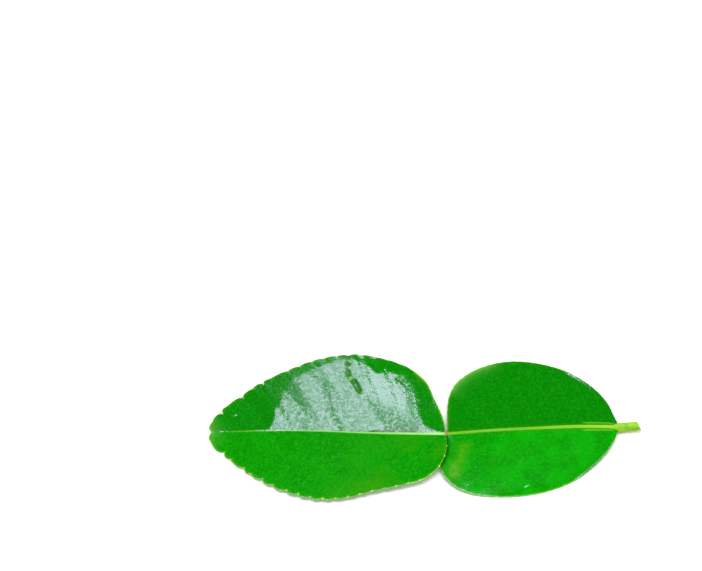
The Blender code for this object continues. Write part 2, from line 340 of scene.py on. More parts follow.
def blade_tints(row, out, width):
    """Where the blade is ripe or matt, its veins and rim, and the painted sheen, highlight and shade on it.
    """
    share = np.abs(out)
    from_rim = (1 - share) * width
    tip = np.clip((row - 0.93) / 0.07, 0, 1)
    far = out > 0

    # Matt bands in the gloss of the far half: a wide one beside the midrib, and three narrow ones
    upper = np.interp(
        row, (0.23, 0.3, 0.352, 0.405, 0.448, 0.463, 0.477, 0.487),
        (0.08, 0.17, 0.25, 0.32, 0.37, 0.42, 0.48, 0.55))
    left = np.interp(share, (0, 0.1, 0.23, 0.35, 0.54), (0.44, 0.445, 0.475, 0.487, 0.495))
    matt = 0.75 * np.clip((upper - share) / 0.2 + 0.5, 0, 1) * np.clip((left - row) / 0.02 + 0.5, 0, 1)
    matt *= np.clip((row - 0.22) / 0.04, 0, 1)
    middle = np.interp(share, (0.06, 0.24, 0.42, 0.59, 0.76), (0.618, 0.62, 0.617, 0.605, 0.59))
    band = np.exp(-((row - middle) / 0.018) ** 2) * np.clip((0.85 - share) / 0.2, 0, 1)
    matt = np.maximum(matt, band)
    last = np.interp(
        share, (0.1, 0.25, 0.38, 0.53, 0.62, 0.8), (0.735, 0.735, 0.707, 0.692, 0.693, 0.66))
    matt = np.maximum(matt, 0.7 * np.exp(-((row - last) / 0.014) ** 2))
    matt = np.maximum(matt, 1.2 * np.exp(-((row - 0.697) / 0.012) ** 2 - ((out - 0.48) / 0.09) ** 2))
    from_line, length, beads = crease_parts(row, share)
    crease = np.exp(-(from_line / (0.55 * MM)) ** 2) * length * far
    bead = crease * np.clip(0.2 - 2 * beads, 0, 1) * np.clip((0.8 - share) / 0.1, 0.3, 1)
    matt = np.maximum(matt, 0.35 * np.clip((row - 0.44) / 0.05, 0, 1) * np.clip((0.8 - row) / 0.05, 0, 1))
    matt = np.maximum(matt * far, 2 * crease)

    # A yellow thread where the rib thins out, ripe clouds in the near half, and the beads
    thread = 0.55 * np.exp(-((out * width / MM - 0.1) / 0.14) ** 2)
    thread *= np.clip((row - 0.66) / 0.06, 0, 1) * np.clip((0.97 - row) / 0.04, 0, 1)
    clouds = soft_noise(41, row * 11 + share * 3, share * 2.5 - row * 3)
    ripe = np.clip((0.65 - row) / 0.35, 0, 1) * np.clip(0.3 - out, 0, 1)
    ripe *= np.clip(0.4 + clouds, 0, 1.2) * (out < 0)
    # The pale rim widens on the far half by the joint as a painted highlight
    rim_and_highlight_width = np.where(far & (row < 0.24), 0.5, 0.2) * MM
    in_notch = 1 - 0.65 * np.sqrt(np.abs(np.sin(np.pi * BLADE["scallops"] * row))) * (row > 0.24)
    for spot in BLISTERS[FIRST_IN_CREASE:]:
        ripe = np.maximum(ripe, 2 * blister_shape(row, out, spot, 0.4 * MM))
    return dict(
        vein=vein_tint(BLADE, row, share),
        rim=np.maximum(np.exp(-from_rim / rim_and_highlight_width) * in_notch, thread + 0.5 * bead),
        # Painted sheen: the margins at the tip turn paler
        pale=1.5 * tip * np.exp(-from_rim / (2.5 * MM)),
        ripe=ripe,
        matt=matt,
        # Painted shade darkening the crease, less so on its beads
        shade=0.8 * (crease - bead),
        half=np.clip(0.5 + out * width / (1 * MM), 0, 1),
        # Painted shade: a dark line along the far side of the midrib
        rib=np.exp(-((out * width / MM - 0.5) / 0.18) ** 2) * np.clip((0.75 - row) / 0.3, 0, 1),
    )


def add_node(tree, kind, inputs=(), **settings):
    """A node with its settings, and with its sockets given a value or a link."""
    node = tree.nodes.new(kind)
    for key, value in settings.items():
        setattr(node, key, value)
    for key, value in dict(inputs).items():
        if isinstance(value, bpy.types.NodeSocket):
            tree.links.new(value, node.inputs[key])
        else:
            node.inputs[key].default_value = value
    return node


def product(tree, first, second):
    return add_node(tree, "ShaderNodeMath", {0: first, 1: second}, operation="MULTIPLY").outputs[0]


def leaf_tint(tree, label):
    return add_node(tree, "ShaderNodeAttribute", attribute_name=label).outputs["Fac"]


def mixed(tree, share, low, high):
    """One colour passing into another."""
    node = add_node(tree, "ShaderNodeMix", data_type="RGBA")
    for key, value in ((0, share), (6, low), (7, high)):
        if isinstance(value, bpy.types.NodeSocket):
            tree.links.new(value, node.inputs[key])
        else:
            node.inputs[key].default_value = value
    return node.outputs[2]


def spread(tree, value, low, high, to_low=0, to_high=1):
    return add_node(
        tree, "ShaderNodeMapRange",
        {"Value": value, "From Min": low, "From Max": high, "To Min": to_low, "To Max": to_high},
    ).outputs["Result"]


def bare_skin(name):
    """A new material, its node tree, its shader and the place of each point on the leaf."""
    material = bpy.data.materials.new(name)
    material.use_nodes = True
    tree = material.node_tree
    coordinates = add_node(tree, "ShaderNodeTexCoord").outputs["Object"]
    return material, tree, tree.nodes["Principled BSDF"], coordinates


# Tones that the patterns of the skin bring in, with painted sheen and shade: above, along its veins and
# rims, and beneath
LIGHT_CLOUD = (0.005, 0.255, 0.0002, 1)
GLAND_DOT = (0.012, 0.29, 0.0004, 1)
LIGHT_SPECK = (0.012, 0.26, 0.0004, 1)
RIPE_YELLOW = (0.020, 0.205, 0.0002, 1)
PALE_AND_SHEEN_GREEN = (0.14, 0.40, 0.06, 1)
DEEP_SHADE = (0.0002, 0.04, 0.0001, 1)
VEIN_GREEN = (0.003, 0.26, 0.0004, 1)
RIB_EDGE_AND_SHADE = (0.06, 0.09, 0.001, 1)
RIM_YELLOW = (0.20, 0.50, 0.01, 1)
UNDER_GREEN = (0.10, 0.30, 0.05, 1)
UNDER_NET = (0.20, 0.40, 0.10, 1)


def leaf_skin(name, near_half_lit_green, far_half_shaded_green, deep_green):
    """Waxy upper skin, darker on the far half as painted shade, a paler, duller underside, oil glands, net
    veins and a thin pale margin.
    """
    material, tree, shader, coordinates = bare_skin(name)
    in_mm = add_node(tree, "ShaderNodeMapping", {"Vector": coordinates, "Scale": (1000, 1000, 1000)})
    place = in_mm.outputs["Vector"]
    broad = add_node(tree, "ShaderNodeTexNoise", {"Vector": place, "Scale": 0.18, "Detail": 4})
    fine = add_node(tree, "ShaderNodeTexNoise", {"Vector": place, "Scale": 1.3, "Detail": 4})
    glands = add_node(tree, "ShaderNodeTexVoronoi", {"Vector": place, "Scale": 0.85})
    net = add_node(
        tree, "ShaderNodeTexVoronoi", {"Vector": place, "Scale": 0.7}, feature="DISTANCE_TO_EDGE")
    half = leaf_tint(tree, "half")
    # Painted light and shade: a lighter green on the near half, a darker green on the far half
    green = mixed(tree, half, near_half_lit_green, far_half_shaded_green)
    green = mixed(tree, spread(tree, broad.outputs["Fac"], 0.40, 0.60, 0, 0.55), green, deep_green)
    light = product(
        tree, spread(tree, fine.outputs["Fac"], 0.4, 0.65, 0, 0.5), spread(tree, half, 0, 1, 1, 0.5))
    green = mixed(tree, light, green, LIGHT_CLOUD)
    dots = spread(tree, glands.outputs["Distance"], 0.26, 0.12, 0, 0.6)
    dots = product(tree, dots, spread(tree, half, 0, 1, 1, 0.35))
    green = mixed(tree, dots, green, GLAND_DOT)
    vein = product(tree, leaf_tint(tree, "vein"), 0.12)
    green = mixed(tree, vein, green, VEIN_GREEN)
    green = mixed(tree, leaf_tint(tree, "ripe"), green, RIPE_YELLOW)
    # Pale patch and channel lines of the wing, and painted sheen at the blade's tip and the wing's far rim
    pale = product(tree, leaf_tint(tree, "pale"), 0.35)
    green = mixed(tree, pale, green, PALE_AND_SHEEN_GREEN)
    net_line = spread(tree, net.outputs["Distance"], 0.1, 0.0, 0, 0.5)
    underside = mixed(tree, net_line, UNDER_GREEN, UNDER_NET)
    # Dark edges of the wing's rib, and a painted shade line beside the blade's rib
    green = mixed(tree, leaf_tint(tree, "rib"), green, RIB_EDGE_AND_SHADE)
    speck = add_node(tree, "ShaderNodeTexNoise", {"Vector": place, "Scale": 2.0, "Detail": 2})
    green = mixed(tree, spread(tree, speck.outputs["Fac"], 0.55, 0.35, 0, 0.25), green, deep_green)
    light_speck = spread(tree, speck.outputs["Fac"], 0.55, 0.75, 0, 0.5)
    green = mixed(tree, light_speck, green, LIGHT_SPECK)
    # Painted shade: in the blade's crease, and on the wing beside the blade's lobe
    shaded = product(tree, leaf_tint(tree, "shade"), 0.7)
    green = mixed(tree, shaded, green, DEEP_SHADE)
    colour = mixed(tree, leaf_tint(tree, "under"), green, underside)
    colour = mixed(tree, leaf_tint(tree, "rim"), colour, RIM_YELLOW)
    tree.links.new(colour, shader.inputs["Base Color"])
    polish = spread(tree, fine.outputs["Fac"], 0.3, 0.7, 0.10, 0.14)
    bloom = product(tree, half, 0.02)
    dull = product(tree, leaf_tint(tree, "under"), 0.35)
    worn = product(tree, leaf_tint(tree, "matt"), spread(tree, fine.outputs["Fac"], 0.36, 0.6, 0.06, 0.55))
    rough = polish
    for more in (bloom, dull, worn):
        rough = add_node(tree, "ShaderNodeMath", {0: rough, 1: more}, operation="ADD").outputs[0]
    tree.links.new(rough, shader.inputs["Roughness"])
    grain = add_node(tree, "ShaderNodeTexNoise", {"Vector": place, "Scale": 1.4, "Detail": 4})
    relief = product(tree, grain.outputs["Fac"], spread(tree, half, 0, 1, 0.2, 1))
    grain_bump = add_node(
        tree, "ShaderNodeBump", {"Height": relief, "Strength": 0.7, "Distance": 0.11 * MM})
    pits = spread(tree, glands.outputs["Distance"], 0.0, 0.25)
    pit_bump = add_node(
        tree, "ShaderNodeBump",
        {"Height": pits, "Strength": 0.4, "Distance": 0.03 * MM, "Normal": grain_bump.outputs["Normal"]})
    tree.links.new(pit_bump.outputs["Normal"], shader.inputs["Normal"])
    return material


blade = lamina_piece("blade", BLADE, blade_relief, blade_tints)
# Greens: near half lighter as painted light, far half darker as painted shade, then the deep green of the
# clouds
blade.data.materials.append(leaf_skin(
    "blade_skin", (0.0008, 0.180, 0.0001, 1), (0.0004, 0.132, 0.0003, 1), (0.0002, 0.130, 0.0001, 1)))
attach(blade, "root")
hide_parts("leaf")

# Winged petiole
# The leaf stalk of this lime, widened into a second lamina as large as a leaf of its own. It grows
# from the stalk to the joint with the blade, lies nearly flat, and its rims curl near the stalk.

WING = dict(
    midrib=((46.8, 2.6, 1.5), (36, 2.85, 1.3), (24, 2.35, 1.2), (12, 1.45, 1.6), (0.2, 0, 2.4)),
    far_margin=(
        (46.6, 3.5, 1.6), (46.2, 4.8, 1.5), (45.65, 6.4, 1.4), (44.6, 9.6, 1.2), (41.7, 14.2, 0.8),
        (37.0, 18.5, 0.4), (31.5, 21.8, 0.1), (25.0, 23.6, -0.2), (18.5, 24.0, -0.2), (12.0, 22.6, 0.1),
        (6.3, 19.4, 0.6), (3.0, 16.1, 1.0), (1.2, 12.0, 1.4), (0.5, 6.8, 1.9), (0.3, 0.6, 2.4),
    ),
    near_margin=(
        (46.6, 1.7, 1.6), (46, 0.2, 1.5), (45.2, -1.6, 1.4), (42.8, -5.2, 1.2), (39.2, -8.9, 0.8),
        (34.0, -12.8, 0.3), (27.0, -15.8, -0.15), (20.0, -17.3, -0.2), (13.0, -17.6, 0), (6.4, -16.9, 0.5),
        (2.0, -15.1, 0.9), (-0.5, -12.8, 1.2), (-1.7, -10.4, 1.4), (-2.1, -8.0, 1.5), (-2.0, -5.4, 1.7),
        (-1.3, -3.0, 2.0), (-0.5, -1.3, 2.3), (0.0, -0.6, 2.4),
    ),
    far_notches=((0, 0.15),), near_notches=((0, 0.2),),
    scallops=30, scallop_rows=11, length=47 * MM, fan=24 * MM,
    first_rows=0, row_power=1.5, veins=10, level=1, roll=(), far_groove=0.03, near_groove=0.02,
)


# Row and share of a small fleck on the near half, its height and its radius
FLECK = (0.520, -0.830)
FLECK_RISE = 0.14 * MM
FLECK_RADIUS = 0.4 * MM

# Wrinkles in millimetres, the slope of the near corner beside the blade, and how far the rims curl
WING_STREAKS = 0.020
WING_QUILT = 0.008
WING_SWELL = 0.08
CORNER_SLOPE = 0.045
FAR_CURL_REACH = 2.1
NEAR_CURL_REACH = 0.85


def wing_relief(row, out, width):
    """Fainter wrinkles than on the blade, a lifted corner beside it, and rims that curl."""
    share = np.abs(out)
    across = share * width
    along = row * row_length(WING, share)
    from_rim = (1 - share) * width
    inward = np.clip(from_rim / (1.2 * MM), 0, 1) * np.clip(across / (1 * MM), 0, 1)
    streaks = WING_STREAKS * soft_noise(13, along / (1.2 * MM), across / (4 * MM) + 20 * (out > 0))
    quilt = WING_QUILT * soft_noise(15, along / (0.6 * MM), across / (0.7 * MM) + 40 * (out > 0))
    swell = WING_SWELL * soft_noise(18, along / (6 * MM), across / (7 * MM) + 9 * (out > 0))
    lift = (streaks + quilt + swell) * 0.5 * inward * MM
    lift += CORNER_SLOPE * across * np.clip((row - 0.72) / 0.28, 0, 1) * (out < 0)
    reach = np.where(out > 0, FAR_CURL_REACH, NEAR_CURL_REACH) * MM
    bend = (reach - from_rim) / reach
    curl = (bend + np.hypot(bend, 0.15)) / 2
    far_curl = np.interp(
        row, (0.03, 0.08, 0.14, 0.2, 0.26, 0.3, 0.34), (0, 0.12, 0.13, 0.22, 0.34, 0.33, 0))
    near_curl = np.interp(row, (0.04, 0.1, 0.23, 0.3), (0, 0.26, 0.26, 0))
    lift += curl * np.where(out > 0, far_curl, -near_curl) * MM
    apart = np.hypot((row - FLECK[0]) * WING["length"], (out - FLECK[1]) * MIDDLE_WIDTH)
    lift += FLECK_RISE * np.exp(-(apart / FLECK_RADIUS) ** 2)
    return lift


def wing_tints(row, out, width):
    """As on the blade, with a ripe patch, a painted sheen along the far rim and the painted shadow of the
    blade on the near half.
    """
    share = np.abs(out)
    across = share * width
    from_rim = (1 - share) * width
    patch = np.exp(-((row - np.interp(share, (0.5, 0.9), (0.872, 0.812))) / 0.028) ** 2) * (out < 0)
    patch *= np.clip((share - 0.3) / 0.15, 0, 1) * np.clip((0.98 - share) / 0.06, 0, 1)
    # Painted sheen: a pale band along the far rim, on the rows towards the joint
    far_rim_sheen_rows = np.clip((row - 0.57) / 0.05, 0, 1) * np.clip((0.84 - row) / 0.05, 0, 1) * (out > 0)
    patch *= 0.75 + 0.5 * soft_noise(31, row * 60, share * 22)
    # Painted shadow cast by the blade's near lobe on the near half
    points = lamina_surface(WING, row, out)[0] / MM
    lobe = np.interp(points[:, 1], (-10.3, -7, -4.4, -2.4, -1), (-2.3, -0.6, 0, 0, 0))
    shade = np.exp(-((points[:, 0] - lobe - 0.3) / 0.5) ** 2) * (out < 0) * (points[:, 0] < 3)
    beside = np.exp(-((across / MM - 1.02) / 0.13) ** 2)
    beside *= np.clip((row - 0.06) / 0.04, 0, 1) * np.clip((0.36 - row) / 0.04, 0, 1)
    return dict(
        vein=vein_tint(WING, row, share),
        rim=np.maximum(0.5 * np.exp(-from_rim / (0.2 * MM)), np.maximum(beside, 0.1 * patch)),
        pale=0.6 * patch * (share > 0.8) + 2 * np.exp(-from_rim / (0.9 * MM)) * far_rim_sheen_rows + beside,
        ripe=patch,
        matt=0 * row,
        shade=shade,
        half=np.clip(0.5 + out * width / (1 * MM), 0, 1),
        rib=0.7 * np.exp(-((across / MM - 0.62) / 0.15) ** 2) * np.clip((row - 0.3) / 0.1, 0, 1),
    )


wing = lamina_piece("winged_petiole", WING, wing_relief, wing_tints)
# Greens: near half lighter as painted light, far half darker as painted shade, then the deep green of the
# clouds
wing.data.materials.append(leaf_skin(
    "wing_skin", (0.0003, 0.25, 0.0001, 1), (0.0001, 0.125, 0.0001, 1), (0.0001, 0.120, 0.0001, 1)))
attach(wing, "root")
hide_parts("leaf")

# Rib and stalk
# The midrib of both laminae and the short stalk that is left where the leaf was cut: one tapering
# rod of tough fibres, thick at the stalk and thread-thin at the tip, flush above and proud beneath.

RIB = (
    (-59, 0.08, -0.06), (-50, 0.16, -0.03), (-36, 0.30, 0.00), (-18, 0.44, 0.03), (-3, 0.60, 0.07),
    (0, 0.80, 0.12), (3, 0.66, 0.09), (20, 0.72, 0.11), (38, 0.80, 0.10), (45.4, 0.88, 0.15),
    (46.6, 1.24, 0.60), (47.4, 1.26, 0.76), (48.6, 1.16, 0.80), (52.25, 1.18, 0.88),
)
STALK_END = (54, 3.0, 1.8)
STALK_CUT = (1, 0.35, 0.5)


def rod_tree():
    """Round rods grown along the edges of a mesh, as thick as its thickness attribute says."""
    tree = bpy.data.node_groups.new("Rods_along_paths", "GeometryNodeTree")
    for name, kind, flow in (
        ("Paths", "NodeSocketGeometry", "INPUT"), ("Sides", "NodeSocketInt", "INPUT"),
        ("Thickness", "NodeSocketFloat", "INPUT"), ("Unevenness", "NodeSocketFloat", "INPUT"),
        ("Skin", "NodeSocketMaterial", "INPUT"), ("Rods", "NodeSocketGeometry", "OUTPUT"),
    ):
        tree.interface.new_socket(name, in_out=flow, socket_type=kind)
    given = tree.nodes.new("NodeGroupInput")
    thick = add_node(tree, "GeometryNodeInputNamedAttribute", {"Name": "thickness"}, data_type="FLOAT")
    paths = add_node(tree, "GeometryNodeMeshToCurve", {"Mesh": given.outputs["Paths"]})
    wobble = add_node(tree, "ShaderNodeTexNoise", {"Scale": 900, "Detail": 1})
    uneven = add_node(
        tree, "ShaderNodeMapRange", {"Value": wobble.outputs["Fac"], "To Min": 1})
    tree.links.new(given.outputs["Unevenness"], uneven.inputs["To Max"])
    width = product(tree, thick.outputs["Attribute"], given.outputs["Thickness"])
    width = product(tree, width, uneven.outputs["Result"])
    paths = add_node(tree, "GeometryNodeSetCurveRadius", {"Curve": paths.outputs["Curve"], "Radius": width})
    ring = add_node(
        tree, "GeometryNodeCurvePrimitiveCircle", {"Resolution": given.outputs["Sides"], "Radius": 1.0})
    rods = add_node(
        tree, "GeometryNodeCurveToMesh",
        {"Curve": paths.outputs["Curve"], "Profile Curve": ring.outputs["Curve"], "Fill Caps": True})
    rods_scale = rods.inputs.get("Scale")
    if rods_scale is not None:
        tree.links.new(width, rods_scale)
    smooth = add_node(tree, "GeometryNodeSetShadeSmooth", {"Geometry": rods.outputs["Mesh"]})
    real = add_node(tree, "GeometryNodeRealizeInstances", {"Geometry": smooth.outputs["Geometry"]})
    skin = add_node(
        tree, "GeometryNodeSetMaterial",
        {"Geometry": real.outputs["Geometry"], "Material": given.outputs["Skin"]})
    end = tree.nodes.new("NodeGroupOutput")
    tree.links.new(skin.outputs["Geometry"], end.inputs["Rods"])
    return tree


def grown(name, tree, vertices, edges, values, settings):
    """What a node tree grows on some points and edges, as a plain mesh."""
    seed = bpy.data.meshes.new(name + "_path")
    seed.from_pydata(np.asarray(vertices).tolist(), edges, [])
    for label, value in values.items():
        layer = seed.attributes.new(label, "FLOAT", "POINT")
        layer.data.foreach_set("value", np.asarray(value, np.float32))
    holder = bpy.data.objects.new(name + "_path", seed)
    bpy.context.scene.collection.objects.link(holder)
    grow = holder.modifiers.new("Grow", "NODES")
    grow.node_group = tree
    for item in tree.interface.items_tree:
        if item.in_out == "INPUT" and item.name in settings:
            grow[item.identifier] = settings[item.name]
    bpy.context.view_layer.update()
    made = holder.evaluated_get(bpy.context.evaluated_depsgraph_get())
    mesh = bpy.data.meshes.new_from_object(made)
    bpy.data.objects.remove(holder)
    mesh.name = name
    piece = bpy.data.objects.new(name, mesh)
    bpy.context.scene.collection.objects.link(piece)
    return piece


def rib_skin():
    """Yellow-green fibres, whiter along the blade with a painted highlight, browner beside the stalk."""
    material, tree, shader, coordinates = bare_skin("rib_skin")
    along = add_node(tree, "ShaderNodeSeparateXYZ", {"Vector": coordinates}).outputs["X"]
    fibre = add_node(tree, "ShaderNodeMapping", {"Vector": coordinates, "Scale": (250, 2600, 2600)})
    strands = add_node(
        tree, "ShaderNodeTexNoise", {"Vector": fibre.outputs["Vector"], "Scale": 1, "Detail": 3})
    ramp = add_node(tree, "ShaderNodeValToRGB", {"Fac": spread(tree, along, -0.06, 0.06)})
    stops = ramp.color_ramp.elements
    stops[0].position = 0.0
    stops[0].color = (0.05, 0.30, 0.01, 1)
    stops[1].position = 1.0
    stops[1].color = (0.205, 0.42, 0.012, 1)
    # Paler towards the joint along the blade: the rib's own pale tone with a painted highlight
    for at, tone in (
        (0.30, (0.12, 0.38, 0.05, 1)), (0.535, (0.27, 0.54, 0.15, 1)), (0.548, (0.10, 0.30, 0.001, 1)),
        (0.72, (0.075, 0.32, 0.001, 1)), (0.85, (0.14, 0.39, 0.002, 1)), (0.93, (0.205, 0.42, 0.010, 1)),
    ):
        stop = stops.new(at)
        stop.color = tone
    dark = spread(tree, strands.outputs["Fac"], 0.4, 0.7, 0, 0.35)
    colour = mixed(tree, dark, ramp.outputs["Color"], (0.10, 0.36, 0.01, 1))
    blotch = add_node(tree, "ShaderNodeTexNoise", {"Vector": coordinates, "Scale": 750, "Detail": 3})
    cut_end = spread(tree, along, 0.050, 0.053)
    blotched = product(tree, spread(tree, blotch.outputs["Fac"], 0.45, 0.65, 0, 0.5), cut_end)
    colour = mixed(tree, blotched, colour, (0.05, 0.22, 0.001, 1))
    tree.links.new(colour, shader.inputs["Base Color"])
    shader.inputs["Roughness"].default_value = 0.5
    shader.inputs["Specular IOR Level"].default_value = 0.15
    bump = add_node(
        tree, "ShaderNodeBump", {"Height": strands.outputs["Fac"], "Strength": 0.5, "Distance": 0.06 * MM})
    tree.links.new(bump.outputs["Normal"], shader.inputs["Normal"])
    return material


rods = rod_tree()
x, radius, rise = np.array(RIB).T * MM
blade_midrib = smooth_curve(BLADE["midrib"])[0](np.linspace(1, 0, 90))
wing_midrib = smooth_curve(WING["midrib"])[0](np.linspace(1, 0, 90))
midrib = np.concatenate((blade_midrib, wing_midrib[1:], np.array([STALK_END]) * MM))
place = np.arange(x[0], x[-1] + 1.4 * MM, 0.35 * MM)
thick = np.interp(place, x, radius)
rib_path = np.column_stack((
    place,
    np.interp(place, midrib[:, 0], midrib[:, 1]),
    np.interp(place, midrib[:, 0], midrib[:, 2]) + LAMINA + np.interp(place, x, rise) - thick,
))
rib = grown(
    "rib_and_stalk", rods, rib_path + JOINT, [(i, i + 1) for i in range(len(place) - 1)],
    {"thickness": thick}, {"Sides": 24, "Thickness": 1.0, "Unevenness": 1.05, "Skin": rib_skin()})
cut_at = Vector((x[-1], rib_path[-1, 1], rib_path[-1, 2])) + Vector(JOINT)
shape = bmesh.new()
shape.from_mesh(rib.data)
bmesh.ops.remove_doubles(shape, verts=shape.verts, dist=WELD)
bmesh.ops.bisect_plane(
    shape, geom=shape.verts[:] + shape.edges[:] + shape.faces[:], plane_co=cut_at,
    plane_no=Vector(STALK_CUT), clear_outer=True)
rim_loop = [vert for vert in shape.verts if vert.is_boundary]
middle = sum((vert.co for vert in rim_loop), Vector()) / len(rim_loop)
inward = -Vector(STALK_CUT).normalized()
spoke = (rim_loop[0].co - middle).normalized()


def turn_round_cut(vert):
    arm = vert.co - middle
    return math.atan2(inward.dot(spoke.cross(arm)), spoke.dot(arm))


rim_loop.sort(key=turn_round_cut)
rings = [rim_loop]
for share, sunk in ((0.93, 0), (0.84, 0.06), (0.62, 0.09), (0.4, 0.10), (0.3, 0.16), (0.15, 0.18)):
    rings.append([
        shape.verts.new(
            middle + (vert.co - middle) * share + inward * sunk * MM * (1 + 0.4 * math.sin(7 * i)))
        for i, vert in enumerate(rim_loop)])
count = len(rim_loop)
caps = [
    shape.faces.new((outer[i], outer[(i + 1) % count], inner[(i + 1) % count], inner[i]))
    for outer, inner in zip(rings, rings[1:]) for i in range(count)]
pith = shape.verts.new(middle + inward * 0.18 * MM)
caps += [shape.faces.new((rings[-1][i], rings[-1][(i + 1) % count], pith)) for i in range(count)]
for face in caps:
    face.material_index = 1
    face.smooth = True
bmesh.ops.recalc_face_normals(shape, faces=shape.faces)
shape.to_mesh(rib.data)
shape.free()


def cut_skin():
    """Freshly cut stalk: a green rind, pale wood in rays and a softer pith."""
    material, tree, shader, coordinates = bare_skin("cut_skin")
    from_middle = add_node(
        tree, "ShaderNodeVectorMath", {0: coordinates, 1: middle}, operation="DISTANCE").outputs["Value"]
    speck = add_node(tree, "ShaderNodeTexNoise", {"Vector": coordinates, "Scale": 2600, "Detail": 3})
    wood = mixed(
        tree, spread(tree, speck.outputs["Fac"], 0.4, 0.65), (0.30, 0.48, 0.05, 1), (0.45, 0.62, 0.16, 1))
    pith_tone = mixed(tree, spread(tree, from_middle, 0.30 * MM, 0.42 * MM), (0.52, 0.60, 0.24, 1), wood)
    colour = mixed(tree, spread(tree, from_middle, 0.95 * MM, 1.15 * MM), pith_tone, (0.16, 0.40, 0.01, 1))
    tree.links.new(colour, shader.inputs["Base Color"])
    shader.inputs["Roughness"].default_value = 0.7
    bump = add_node(
        tree, "ShaderNodeBump", {"Height": speck.outputs["Fac"], "Strength": 0.6, "Distance": 0.1 * MM})
    tree.links.new(bump.outputs["Normal"], shader.inputs["Normal"])
    return material


rib.data.materials.append(cut_skin())
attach(rib, "root")
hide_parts("leaf")

# Joint collar
# The narrow corky ring where the blade meets its winged petiole and will one day drop off. It is
# a scar of dry brown tissue round the rib.

COLLAR = ((-0.42, 0.60), (-0.22, 0.80), (0.05, 0.86), (0.30, 0.86), (0.50, 0.74))
COLLAR_RISE = 0.16 * MM


def collar_skin():
    material, tree, shader, coordinates = bare_skin("collar_skin")
    cork = add_node(tree, "ShaderNodeTexNoise", {"Vector": coordinates, "Scale": 2200, "Detail": 4})
    colour = mixed(
        tree, spread(tree, cork.outputs["Fac"], 0.38, 0.62), (0.22, 0.09, 0.003, 1), (0.15, 0.26, 0.004, 1))
    tree.links.new(colour, shader.inputs["Base Color"])
    shader.inputs["Roughness"].default_value = 0.75
    bump = add_node(
        tree, "ShaderNodeBump", {"Height": cork.outputs["Fac"], "Strength": 0.8, "Distance": 0.15 * MM})
    tree.links.new(bump.outputs["Normal"], shader.inputs["Normal"])
    return material


x, radius = np.array(COLLAR).T * MM
place = np.linspace(x[0], x[-1], 14)
thick = np.interp(place, x, radius)
collar_path = np.column_stack((
    place,
    np.interp(place, midrib[:, 0], midrib[:, 1]),
    np.interp(place, midrib[:, 0], midrib[:, 2]) + LAMINA + COLLAR_RISE - thick.max(),
))
collar = grown(
    "joint_collar", rods, collar_path + JOINT, [(i, i + 1) for i in range(len(place) - 1)],
    {"thickness": thick}, {"Sides": 28, "Thickness": 1.0, "Unevenness": 1.12, "Skin": collar_skin()})
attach(collar, "root")
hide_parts("leaf")

# Side veins
# The side veins stand out as fine pale cords on the leaf's underside, one under each furrow. They
# leave the rib at a slant and fade before they reach the margin.

VEIN_POINTS = 16
VEIN_THICK = 0.15 * MM


def vein_skin():
    material, tree, shader, coordinates = bare_skin("vein_skin")
    cells = add_node(tree, "ShaderNodeTexNoise", {"Vector": coordinates, "Scale": 900, "Detail": 2})
    colour = mixed(
        tree, spread(tree, cells.outputs["Fac"], 0.35, 0.65), (0.20, 0.38, 0.06, 1), (0.30, 0.46, 0.12, 1))
    tree.links.new(colour, shader.inputs["Base Color"])
    shader.inputs["Roughness"].default_value = 0.55
    return material


vein_points, vein_edges, vein_thick = [], [], []
share = np.linspace(0.02, 0.86, VEIN_POINTS)
for plan in (BLADE, WING):
    for number in range(1, plan["veins"]):
        for side in (-1, 1):
            row = np.full(VEIN_POINTS, number / plan["veins"])
            points, width = lamina_surface(plan, row, side * share)
            thick = VEIN_THICK * (1 - 0.75 * share) * np.minimum(1, width / (10 * MM))
            points[:, 2] = np.maximum(points[:, 2], thick * 1.02)
            first = len(vein_thick)
            vein_edges += [(first + i, first + i + 1) for i in range(VEIN_POINTS - 1)]
            vein_points += (points + JOINT).tolist()
            vein_thick += thick.tolist()
veins = grown(
    "side_veins", rods, vein_points, vein_edges, {"thickness": vein_thick},
    {"Sides": 8, "Thickness": 1.0, "Unevenness": 1.1, "Skin": vein_skin()})
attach(veins, "root")
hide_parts("leaf")

# Margin glands
# A small yellow gland sits in each notch between two scallops, and finer ones dot the rim of the
# winged petiole.

GLAND = 0.27 * MM


